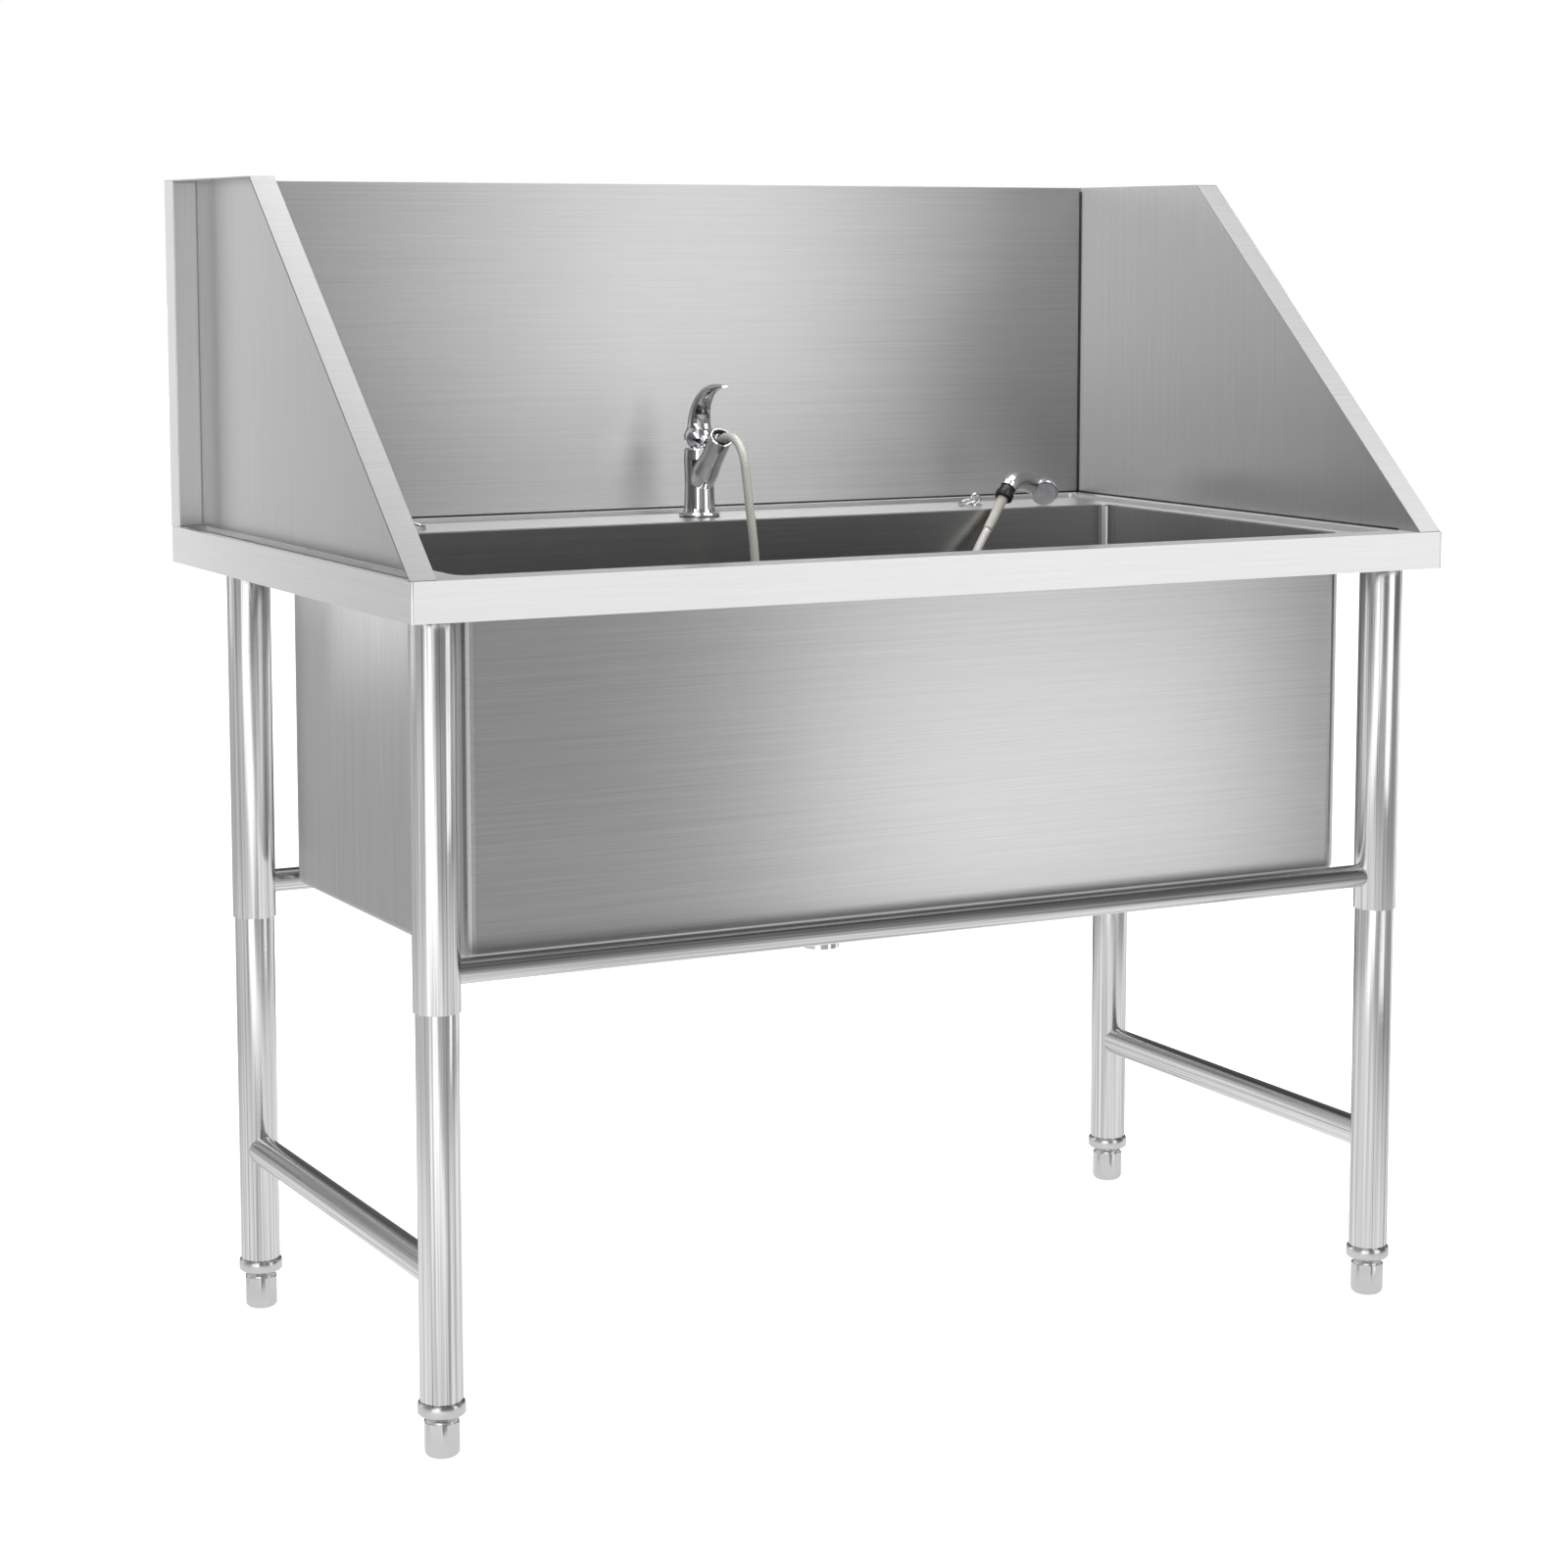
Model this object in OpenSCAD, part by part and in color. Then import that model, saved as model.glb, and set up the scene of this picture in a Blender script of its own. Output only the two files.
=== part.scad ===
// Free-standing stainless steel pet bathtub: a deep bowl in a folded deck with three splash
// panels, on a tube stand with levelling feet, with a pull-out mixer and its spray head.
// Millimetres. +Z is up, the front faces -Y, and the origin is on the floor under the deck's centre.

/* [Deck] */
// Width of the deck
deck_w = 1200; // [1000:10:1400]
// Depth of the deck, front to back
deck_d = 720; // [700:5:800]
// Height of the deck's outer band above the floor
rim_h = 860; // [800:5:950]
// Height of the folded apron
apron_h = 40; // [30:1:60]
// Thickness of the sheet steel
sheet = 1.5; // [1:0.1:2]

/* [Bowl] */
// Outer width of the bowl
bowl_w = 1048; // [900:2:1048]
// Bowl's front wall, measured from the deck's front edge
bowl_front_inset = 73; // [60:1:90]
// Bowl's rear wall, measured from the deck's rear edge
bowl_rear_inset = 170; // [150:1:190]
// Height of the bowl's underside above the floor
bowl_bottom_h = 480; // [460:5:560]

/* [Splash panels] */
// Height of the splash panels above the deck
splash_h = 380; // [250:5:500]
// Width of the folded flange on the side panels' front edges
flange_w = 28; // [20:1:32]
// Depth of the back panel's folded box
back_box_d = 30; // [20:1:40]
// Length of the side panels' level top edge
side_top_d = 284; // [200:2:400]

/* [Stand] */
// Outer diameter of the upper legs
sleeve_d = 46.5; // [46.5:0.5:50]
// Outer diameter of the lower legs
leg_d = 42.5; // [38:0.5:42.5]
// Height of the lower end of the upper legs above the floor
sleeve_end_h = 440; // [380:5:450]
// Diameter of the front and rear braces
long_brace_d = 25; // [20:1:28]
// Diameter of the side braces
side_brace_d = 32; // [22:1:34]
// Height of the side braces above the floor
side_brace_h = 180; // [140:5:300]

/* [Mixer and hose] */
// Distance of the mixer from the deck's rear edge
mixer_inset = 110; // [100:1:120]
// Diameter of the mixer's column
column_d = 37; // [34:1:38]
// Diameter of the shower hose
hose_d = 10; // [9:0.5:11]

/* [Hidden] */

smooth = 64;
fine = 32;
play = 0.3;        // gap between pieces that move past each other
shaft_play = 0.05; // radial gap of a shaft in its hole
steel = [0.74, 0.75, 0.76];
tube_steel = [0.8, 0.8, 0.81];
chrome = [0.88, 0.89, 0.9];
black = [0.08, 0.08, 0.09];
grey = [0.45, 0.45, 0.47];
brass = [0.78, 0.62, 0.32];
braid = [0.72, 0.71, 0.68];

// Deck: a raised outer band carries the splash panels, and the inner ledge lies lower.
step_h = 4;
ledge_z = rim_h - step_h;
ledge_under_z = ledge_z - sheet;
front_band = 38;
side_band = 48;
rear_band = 48;
apron_hem = 14;
deck_corner_r = 3;

// Bowl, in plan.
bowl_front_y = bowl_front_inset - deck_d / 2;
bowl_rear_y = deck_d / 2 - bowl_rear_inset;
bowl_mid_y = (bowl_front_y + bowl_rear_y) / 2;
bowl_corner_r = 20;
bowl_edge_r = 9;
floor_z = bowl_bottom_h + sheet;

// Splash panels.
splash_top = rim_h + splash_h;
back_face_y = deck_d / 2 - back_box_d;
side_face_x = deck_w / 2 - flange_w;
slant_top_y = deck_d / 2 - side_top_d;
slant_foot_y = -deck_d / 2 + 3;
foot_flange = 20;
stud_r = 3;
back_stud_x = [-450, -150, 150, 450];
back_stud_y = back_face_y + 12;
side_stud_x = side_face_x + 14;
side_stud_y = [-220, -40, 140];

// Stand.
leg_x = 558;
front_leg_y = -308;
rear_leg_y = 224;
leg_places = [[-leg_x, front_leg_y], [leg_x, front_leg_y], [-leg_x, rear_leg_y], [leg_x, rear_leg_y]];
tube_wall = 1.5;
plate_t = 3;
plate_w = 52;
sleeve_top_z = ledge_under_z - plate_t;
leg_top_z = sleeve_end_h + 150;
long_brace_h = 477;
bolt_r = 3;
bolt_z = sleeve_end_h + 14;

// Feet: a threaded insert closes each lower leg, and the foot's stem screws into it.
insert_z = 42;
insert_collar_h = 13;
insert_collar_r = 23.6;
insert_plug_top = 82;
stem_r = 6;
foot_r = 17.8;
foot_h = 37;
foot_edge_r = 7;
foot_flats = 33.4;

// Drain, in the middle of the bowl's floor.
drain_y = bowl_mid_y;
cup_r = 41.5;
cup_depth = 44;
drain_flange_r = 56;
recess_r = 58;
recess_depth = 3;
neck_r = 17.5;
tail_r = 20;
tail_end_z = 402;
basket_r = 36;
seat_z = floor_z - recess_depth; // top of the pressed seat round the drain
cup_bottom_z = seat_z - cup_depth;
slip_nut_h = 16;
tail_shoulder_r = 19.4;

// Mixer.
mixer_y = deck_d / 2 - mixer_inset;
column_r = column_d / 2;
outlet_r = 13.5;
outlet_reach = 58;
outlet_rise = 95;
outlet_bore_r = 9.5;
outlet_bore_depth = 16;
branch_z = ledge_z + outlet_rise - outlet_reach;
body_top_z = ledge_z + 80;
ball_z = ledge_z + 92;
ball_r = 15.5;
lever_shell_r = 17.8;
lever_cut_z = ball_z - 3;
cross_pin_r = 2;
lever_stem_r = 4.5;
cartridge_r = 13;
shank_r = 13.9;
shank_bottom_z = ledge_z - 62;
thread_r = 10.48;  // G1/2 outside radius
inlet_x = 17;
inlet_end_z = 700;

// Tether eyes on the rear ledge.
eye_x = 368;
eye_y = 240;
eye_h = 8;
eye_r = 5.8;
eye_wire_r = 1.8;
ring_r = 11;
ring_wire_r = 1.5;
ring_tilt = asin((eye_h - ring_wire_r - play) / (2 * ring_r));

// Spray head, lying on the rear ledge with its socket over the bowl's edge.
socket_mouth = [371, 182, 868];
socket_out = [-0.6, -0.25, -0.76];
socket_len = 15;
socket_r = 11;
sleeve_len = 46;
head_mid = [444, 207, ledge_z + 18.7];
head_out = [-0.35, -0.85, -0.39];
head_r = 16.5;
head_back = 15;

// The hose's centre line: out of the mixer, down into the bowl, along its floor in one loose
// curve, and up to the sleeve on the spray head.
hose_route = [
  [0, 202, 941], [0, 189, 949.5], [0, 173, 952], [0, 156, 949], [0, 143, 939], [0, 135, 926],
  [1, 130, 900], [2, 125, 870], [4, 120, 835], [6, 116, 780], [7, 113, 710], [8, 111, 640],
  [8, 111, 585], [7, 111, 546], [1, 111, 515], [-16, 110, 495], [-42, 109, 487], [-69, 107, 487],
  [-93, 99, 487], [-107, 84, 487], [-112, 65, 487], [-107, 45, 487], [-93, 30, 487], [-70, 22, 487],
  [-10, 17, 487], [50, 12, 487], [110, 9, 487], [165, 9, 487], [212, 16, 487], [250, 32, 487],
  [278, 60, 487], [291, 92, 488], [297, 116, 497], [300, 130, 514], [301, 139, 541],
  [302, 145, 610], [303, 150, 720], [307, 155, 768], [319, 160.3, 802], [342.9, 170.3, 832.4]
];

function unit(v) = v / norm(v);
function flat_across(v) = unit(cross([0, 0, 1], v));

// One ring of points round a centre, in the plane of two unit vectors.
function ring_points(mid, across, up, a, b, n) =
  [for (i = [0:n - 1]) mid + across * (a * cos(360 * i / n)) + up * (b * sin(360 * i / n))];

// A solid skin over a list of rings, closed at both ends.
module loft(rings) {
  n = len(rings[0]);
  count = len(rings);
  corners = [for (r = rings) each r];
  sides = [for (k = [0:count - 2], i = [0:n - 1])
    [k * n + i, k * n + (i + 1) % n, (k + 1) * n + (i + 1) % n, (k + 1) * n + i]];
  start_cap = [[for (i = [n - 1:-1:0]) i]];
  end_cap = [[for (i = [0:n - 1]) (count - 1) * n + i]];
  polyhedron(corners, concat(start_cap, sides, end_cap), convexity = 6);
}

// Tangents along a route, and a frame carried along it without twist.
function tangent(p, i) = unit(p[min(i + 1, len(p) - 1)] - p[max(i - 1, 0)]);
function carried(v, t) = unit(v - t * (v * t));
function across_list(p, i, v) =
  i >= len(p) ? [] : let (u = carried(v, tangent(p, i))) concat([u], across_list(p, i + 1, u));

// Twice as many points, with the new ones on a smooth curve between the old ones.
function between(p, i) =
  let (a = p[max(i - 1, 0)], b = p[i], c = p[i + 1], d = p[min(i + 2, len(p) - 1)])
  (9 * (b + c) - a - d) / 16;
function doubled(p) =
  concat([for (i = [0:len(p) - 2]) each [p[i], between(p, i)]], [p[len(p) - 1]]);

module swept_tube(p, r, n, first_across) {
  us = across_list(p, 0, first_across);
  loft([for (i = [0:len(p) - 1]) ring_points(p[i], us[i], cross(us[i], tangent(p, i)), r, r, n)]);
}

// Places children so that their +Z points along a direction.
module aim(at, dir) {
  flat = norm([dir.x, dir.y]);
  translate(at)
    rotate([0, atan2(flat, dir.z), atan2(dir.y, dir.x)])
      children();
}

module tube(r_out, r_in, h) {
  difference() {
    cylinder(r = r_out, h = h, $fn = smooth);
    translate([0, 0, -1]) cylinder(r = r_in, h = h + 2, $fn = smooth);
  }
}

module hexagon(flats, h) {
  cylinder(r = flats / sqrt(3), h = h, $fn = 6);
}

module rounded_plan(x0, x1, y0, y1, r) {
  translate([x0 + r, y0]) square([x1 - x0 - 2 * r, y1 - y0]);
  translate([x0, y0 + r]) square([x1 - x0, y1 - y0 - 2 * r]);
  for (x = [x0 + r, x1 - r], y = [y0 + r, y1 - r])
    translate([x, y]) circle(r = r, $fn = smooth);
}

module deck_plan(inset) {
  rounded_plan(inset - deck_w / 2, deck_w / 2 - inset, inset - deck_d / 2, deck_d / 2 - inset,
    max(deck_corner_r - inset, 0.6));
}

module bowl_plan(inset) {
  rounded_plan(inset - bowl_w / 2, bowl_w / 2 - inset, bowl_front_y + inset, bowl_rear_y - inset,
    bowl_corner_r - inset);
}

// The edge of the lowered ledge: grow moves it outwards.
module ledge_plan(grow) {
  rounded_plan(side_band - deck_w / 2 - grow, deck_w / 2 - side_band + grow,
    front_band - deck_d / 2 - grow, deck_d / 2 - rear_band + grow, 12 + grow);
}

module stud_places() {
  for (x = back_stud_x) translate([x, back_stud_y, 0]) children();
  for (s = [-1, 1], y = side_stud_y) translate([s * side_stud_x, y, 0]) children();
}

module deck_rim() {
  color(steel)
    difference() {
      union() {
        translate([0, 0, rim_h - apron_h])
          linear_extrude(apron_h)
            difference() {
              deck_plan(0);
              deck_plan(sheet);
            }
        translate([0, 0, rim_h - sheet])
          linear_extrude(sheet)
            difference() {
              deck_plan(0.5);
              ledge_plan(0);
            }
        translate([0, 0, ledge_under_z])
          linear_extrude(step_h + sheet)
            difference() {
              ledge_plan(sheet);
              ledge_plan(0);
            }
        translate([0, 0, ledge_under_z])
          linear_extrude(sheet)
            difference() {
              ledge_plan(0.5);
              bowl_plan(sheet);
            }
        translate([0, 0, rim_h - apron_h])
          linear_extrude(sheet)
            difference() {
              deck_plan(0.5);
              deck_plan(apron_hem);
            }
      }
      stud_places()
        translate([0, 0, rim_h - 5]) cylinder(r = stud_r + 0.2, h = 10, $fn = fine);
      translate([0, mixer_y, ledge_z - 10]) cylinder(r = shank_r + 0.6, h = 20, $fn = smooth);
      for (s = [-1, 1])
        translate([s * eye_x, eye_y, ledge_z - 10]) cylinder(r = 2.6, h = 20, $fn = fine);
    }
}

// A block with rounded upright corners and a rounded bottom edge.
module bowl_form(inset, z0, z1) {
  r = bowl_corner_r - inset;
  e = bowl_edge_r - inset;
  hull()
    for (x = [-1, 1], y = [bowl_front_y + bowl_corner_r, bowl_rear_y - bowl_corner_r])
      translate([x * (bowl_w / 2 - bowl_corner_r), y, z0])
        rotate_extrude($fn = fine)
          intersection() {
            union() {
              translate([0, e]) square([r, z1 - z0 - e]);
              square([r - e, e + 1]);
              translate([r - e, e]) circle(r = e, $fn = 24);
            }
            square([r, z1 - z0]);
          }
}

module bowl() {
  color(steel)
    union() {
      difference() {
        bowl_form(0, bowl_bottom_h, ledge_under_z);
        bowl_form(sheet, floor_z, ledge_under_z + 1);
        translate([0, drain_y, bowl_bottom_h - 1])
          cylinder(r = recess_r + 6, h = sheet + 2, $fn = smooth);
      }
      translate([0, drain_y, bowl_bottom_h])
        rotate_extrude($fn = smooth)
          polygon([
            [recess_r + 6.5, 0], [recess_r + 6.5, sheet], [recess_r + 5, sheet],
            [recess_r - 1, sheet - recess_depth], [cup_r, sheet - recess_depth],
            [cup_r, -recess_depth], [recess_r, -recess_depth], [recess_r + 6, 0]
          ]);
    }
}

module back_splash() {
  w = deck_w / 2;
  color(steel)
    difference() {
      union() {
        translate([-w, back_face_y, rim_h]) cube([deck_w, sheet, splash_h]);
        for (x = [-w, w - sheet])
          translate([x, back_face_y, rim_h]) cube([sheet, back_box_d, splash_h]);
        for (x = [-w, w - foot_flange])
          translate([x, deck_d / 2 - sheet, rim_h]) cube([foot_flange, sheet, splash_h]);
        translate([-w, back_face_y, splash_top - sheet]) cube([deck_w, back_box_d, sheet]);
        translate([-w, deck_d / 2 - sheet, splash_top - foot_flange])
          cube([deck_w, sheet, foot_flange]);
        translate([-w, back_face_y, rim_h]) cube([deck_w, foot_flange, sheet]);
      }
      for (x = back_stud_x)
        translate([x, back_stud_y, rim_h - 1]) cylinder(r = stud_r, h = sheet + 2, $fn = fine);
    }
}

// A side panel in the YZ plane, with flanges turned outwards (+X side).
module side_splash_right() {
  front = [slant_foot_y, rim_h];
  corner = [slant_top_y, splash_top];
  slant = unit(corner - front);
  inward = [slant.y, -slant.x] * sheet;
  difference() {
    union() {
      translate([side_face_x + sheet, 0, 0])
        rotate([90, 0, -90])
          linear_extrude(sheet)
            polygon([for (p = [front, corner, [back_face_y, splash_top], [back_face_y, rim_h]])
              [-p.x, p.y]]);
      translate([side_face_x + flange_w, 0, 0])
        rotate([90, 0, -90])
          linear_extrude(flange_w)
            polygon([for (p = [front, corner, corner + inward, front + inward + slant * 0.6])
              [-p.x, p.y]]);
      translate([side_face_x, slant_top_y, splash_top - sheet])
        cube([flange_w, back_face_y - slant_top_y, sheet]);
      translate([side_face_x, slant_foot_y + 6, rim_h])
        cube([foot_flange, back_face_y - slant_foot_y - 6, sheet]);
    }
    for (y = side_stud_y)
      translate([side_stud_x, y, rim_h - 1]) cylinder(r = stud_r, h = sheet + 2, $fn = fine);
    translate([0, -deck_d, rim_h - 20]) cube([deck_w, 2 * deck_d, 20]);
  }
}

module left_splash() {
  color(steel) mirror([1, 0, 0]) side_splash_right();
}

module right_splash() {
  color(steel) side_splash_right();
}

module splash_studs() {
  color(grey)
    stud_places() {
      translate([0, 0, rim_h - 13]) cylinder(r = stud_r, h = 13 + sheet, $fn = fine);
      translate([0, 0, rim_h - sheet - 5]) hexagon(10, 5);
    }
}

module leg_plates() {
  color(steel)
    for (p = leg_places)
      translate([p.x + sign(p.x) * 2 - plate_w / 2, p.y - plate_w / 2, sleeve_top_z])
        cube([plate_w, plate_w, plate_t]);
}

module upper_leg(p) {
  color(tube_steel)
    difference() {
      translate([p.x, p.y, sleeve_end_h])
        tube(sleeve_d / 2, sleeve_d / 2 - tube_wall, sleeve_top_z - sleeve_end_h);
      translate([p.x, p.y, bolt_z])
        rotate([-90, 0, 0]) cylinder(r = bolt_r, h = sleeve_d, $fn = fine);
    }
}

module lower_leg(p) {
  color(tube_steel)
    difference() {
      translate([p.x, p.y, insert_z + 3])
        tube(leg_d / 2, leg_d / 2 - tube_wall, leg_top_z - insert_z - 3);
      translate([p.x, p.y, bolt_z])
        rotate([-90, 0, 0]) cylinder(r = bolt_r, h = sleeve_d, $fn = fine);
    }
}

module leg_bolts() {
  color(grey)
    for (p = leg_places)
      translate([p.x, p.y, bolt_z])
        rotate([-90, 0, 0]) {
          translate([0, 0, leg_d / 2 - 6])
            cylinder(r = bolt_r, h = sleeve_d / 2 - leg_d / 2 + 8, $fn = fine);
          translate([0, 0, sleeve_d / 2 + 0.2]) hexagon(10, 4);
        }
}

module foot_insert(p) {
  plug_r = leg_d / 2 - tube_wall;
  color(tube_steel)
    translate([p.x, p.y, 0])
      rotate_extrude($fn = smooth)
        polygon([
          [stem_r + shaft_play, insert_z], [insert_collar_r - 2, insert_z],
          [insert_collar_r, insert_z + 2], [insert_collar_r, insert_z + insert_collar_h - 2],
          [insert_collar_r - 1, insert_z + insert_collar_h], [leg_d / 2, insert_z + insert_collar_h],
          [leg_d / 2, insert_z + 3], [plug_r, insert_z + 3],
          [plug_r, insert_plug_top], [stem_r + shaft_play, insert_plug_top]
        ]);
}

module foot(p) {
  color(tube_steel)
    translate([p.x, p.y, 0]) {
      intersection() {
        rotate_extrude($fn = smooth)
          intersection() {
            union() {
              square([foot_r - foot_edge_r, foot_h]);
              translate([foot_r - foot_edge_r, foot_edge_r]) circle(r = foot_edge_r, $fn = fine);
              translate([0, foot_edge_r]) square([foot_r, foot_h - foot_edge_r - 2]);
              translate([0, foot_h - 2]) square([foot_r - 2, 2]);
            }
            square([foot_r, foot_h]);
          }
        rotate([0, 0, 15]) hexagon(foot_flats, foot_h);
      }
      translate([0, 0, foot_h - 1]) cylinder(r = stem_r, h = insert_plug_top - foot_h + 7, $fn = smooth);
    }
}

module long_brace(y) {
  color(tube_steel)
    difference() {
      translate([-leg_x, y, long_brace_h])
        rotate([0, 90, 0])
          tube(long_brace_d / 2, long_brace_d / 2 - tube_wall, 2 * leg_x);
      for (x = [-leg_x, leg_x])
        translate([x, y, long_brace_h - 40]) cylinder(r = sleeve_d / 2, h = 80, $fn = smooth);
    }
}

module side_brace(x) {
  color(tube_steel)
    difference() {
      translate([x, front_leg_y, side_brace_h])
        rotate([-90, 0, 0])
          tube(side_brace_d / 2, side_brace_d / 2 - tube_wall, rear_leg_y - front_leg_y);
      for (y = [front_leg_y, rear_leg_y])
        translate([x, y, side_brace_h - 40]) cylinder(r = leg_d / 2, h = 80, $fn = smooth);
    }
}

module front_brace() {
  long_brace(front_leg_y);
}

module rear_brace() {
  long_brace(rear_leg_y);
}

module left_brace() {
  side_brace(-leg_x);
}

module right_brace() {
  side_brace(leg_x);
}

module drain_flange() {
  color(steel)
    translate([0, drain_y, 0])
      rotate_extrude($fn = smooth)
        polygon([
          [cup_r - 4.5, seat_z - 5], [cup_r - 1.5, seat_z - 3], [cup_r - 1.5, seat_z + 1],
          [drain_flange_r, seat_z + 0.6], [drain_flange_r, seat_z], [cup_r, seat_z],
          [cup_r, cup_bottom_z], [neck_r + 4, cup_bottom_z], [neck_r + 4, cup_bottom_z - 10],
          [neck_r, cup_bottom_z - 10], [neck_r, cup_bottom_z + 2],
          [cup_r - 4.5, cup_bottom_z + 2]
        ]);
}

module drain_gasket() {
  color(black)
    translate([0, drain_y, seat_z - sheet - 2]) tube(drain_flange_r - 1, cup_r, 2);
}

module drain_locknut() {
  color(steel)
    translate([0, drain_y, seat_z - sheet - 12])
      difference() {
        union() {
          cylinder(r = drain_flange_r - 6, h = 10, $fn = smooth);
          for (a = [0:45:315])
            rotate([0, 0, a]) translate([drain_flange_r - 8, -4, 0]) cube([6, 8, 10]);
        }
        translate([0, 0, -1]) cylinder(r = cup_r, h = 12, $fn = smooth);
      }
}

module drain_slip_nut() {
  color(chrome)
    translate([0, drain_y, cup_bottom_z - slip_nut_h])
      difference() {
        hexagon(54, slip_nut_h);
        translate([0, 0, 6]) cylinder(r = neck_r + 4, h = slip_nut_h - 5, $fn = smooth);
        translate([0, 0, -1]) cylinder(r = tail_shoulder_r, h = 8, $fn = smooth);
      }
}

module drain_tailpiece() {
  color(chrome)
    translate([0, drain_y, 0])
      rotate_extrude($fn = smooth)
        polygon([
          [neck_r, tail_end_z], [tail_r, tail_end_z], [tail_r, cup_bottom_z - slip_nut_h - 1],
          [tail_shoulder_r, cup_bottom_z - slip_nut_h - 1], [tail_shoulder_r, cup_bottom_z - 10],
          [neck_r, cup_bottom_z - 10]
        ]);
}

module strainer_basket() {
  top = seat_z - 1.5;
  rim = cup_r - 1.5 - play;
  hole_r = 2.4;
  color(steel)
    translate([0, drain_y, 0])
      difference() {
        union() {
          rotate_extrude($fn = smooth)
            polygon([
              [0, top - 26], [basket_r - 1, top - 26], [basket_r, top - 24], [basket_r, top - 2],
              [rim, top - 0.8], [rim, top], [basket_r - 1.2, top - 0.8],
              [basket_r - 1.2, top - 24], [basket_r - 2.5, top - 24.8], [0, top - 24.8]
            ]);
          translate([0, 0, top - 25]) cylinder(r = 3, h = 18, $fn = fine);
          translate([0, 0, top - 8])
            rotate_extrude($fn = fine)
              polygon([[0, 0], [6, 0], [8, 2], [8, 5], [6, 7], [0, 7]]);
        }
        for (a = [0:30:330])
          rotate([0, 0, a])
            translate([26, 0, top - 30]) cylinder(r = hole_r, h = 10, $fn = fine);
        for (a = [15:45:330])
          rotate([0, 0, a])
            translate([15, 0, top - 30]) cylinder(r = hole_r, h = 10, $fn = fine);
      }
}

module at_mixer() {
  translate([0, mixer_y, 0]) children();
}

module mixer_gasket() {
  color(black) at_mixer() translate([0, 0, ledge_z]) tube(23, shank_r, 1);
}

module mixer_base_ring() {
  color(chrome)
    at_mixer()
      translate([0, 0, ledge_z + 1])
        rotate_extrude($fn = smooth)
          polygon([[shank_r, 0], [24, 0], [24, 2], [22.5, 3.6], [20, 4.6], [shank_r, 4.6]]);
}

module mixer_body() {
  base = ledge_z + 5.6;
  color(chrome)
    at_mixer()
      difference() {
        union() {
          rotate_extrude($fn = smooth)
            polygon([
              [0, base], [column_r + 0.8, base], [column_r - 0.4, base + 4],
              [column_r - 1, base + 18], [column_r - 1.6, branch_z], [column_r - 1, branch_z + 18],
              [column_r - 0.4, branch_z + 30], [column_r - 1.2, body_top_z - 2],
              [column_r - 3, body_top_z], [0, body_top_z]
            ]);
          aim([0, 0, branch_z], [0, -1, 1])
            rotate_extrude($fn = smooth)
              polygon([
                [0, -8], [outlet_r + 1, -8], [outlet_r + 2, 24], [outlet_r, 44],
                [outlet_r - 0.4, outlet_reach * sqrt(2) - 2],
                [outlet_r + 0.2, outlet_reach * sqrt(2) - 1], [outlet_r - 0.8, outlet_reach * sqrt(2)],
                [0, outlet_reach * sqrt(2)]
              ]);
        }
        aim([0, 0, branch_z], [0, -1, 1])
          translate([0, 0, outlet_reach * sqrt(2) - outlet_bore_depth])
            cylinder(r = outlet_bore_r, h = outlet_bore_depth + 1, $fn = smooth);
        aim([0, 0, branch_z], [0, -1, 1])
          translate([0, 0, outlet_reach * sqrt(2) - 5]) cylinder(r = outlet_r - 1.6, h = 6, $fn = smooth);
        translate([0, 0, body_top_z - 30]) cylinder(r = cartridge_r, h = 31, $fn = smooth);
      }
}

module outlet_liner() {
  color(black)
    at_mixer()
      aim([0, 0, branch_z], [0, -1, 1])
        translate([0, 0, outlet_reach * sqrt(2) - 5]) tube(outlet_r - 1.6, outlet_bore_r, 5.4);
}

module cartridge() {
  color(grey)
    at_mixer()
      translate([0, 0, body_top_z - 30]) tube(cartridge_r, lever_stem_r + shaft_play, 20);
}

module cartridge_nut() {
  color(chrome)
    at_mixer()
      translate([0, 0, body_top_z - 10]) tube(cartridge_r, lever_stem_r + 1, 5);
}

module lever_ball() {
  color(chrome)
    at_mixer()
      difference() {
        union() {
          intersection() {
            translate([0, 0, ball_z]) sphere(r = ball_r, $fn = smooth);
            translate([0, 0, body_top_z + 1 + ball_r]) cube(2 * ball_r, center = true);
          }
          translate([0, 0, body_top_z - 26]) cylinder(r = lever_stem_r, h = 30, $fn = smooth);
        }
        translate([-ball_r, 0, ball_z])
          rotate([0, 90, 0]) cylinder(r = cross_pin_r, h = 2 * ball_r, $fn = fine);
      }
}

module lever_pin() {
  color(grey)
    at_mixer()
      translate([-lever_shell_r + 0.6, 0, ball_z])
        rotate([0, 90, 0]) cylinder(r = cross_pin_r, h = 2 * lever_shell_r - 1.2, $fn = fine);
}

// The lever's blade: rings of an ellipse along a curve that rises and then bends forwards.
blade_steps = 12;
blade_from = [0, ball_z + 9];
blade_bend = [4, ball_z + 40];
blade_pull = [-22, ball_z + 63];
blade_tip = [-66, ball_z + 61];
function blade_at(t) =
  pow(1 - t, 3) * blade_from + 3 * pow(1 - t, 2) * t * blade_bend
  + 3 * (1 - t) * t * t * blade_pull + pow(t, 3) * blade_tip;
function blade_dir(t) =
  unit((blade_at(min(t + 0.02, 1)) - blade_at(max(t - 0.02, 0))));

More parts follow.
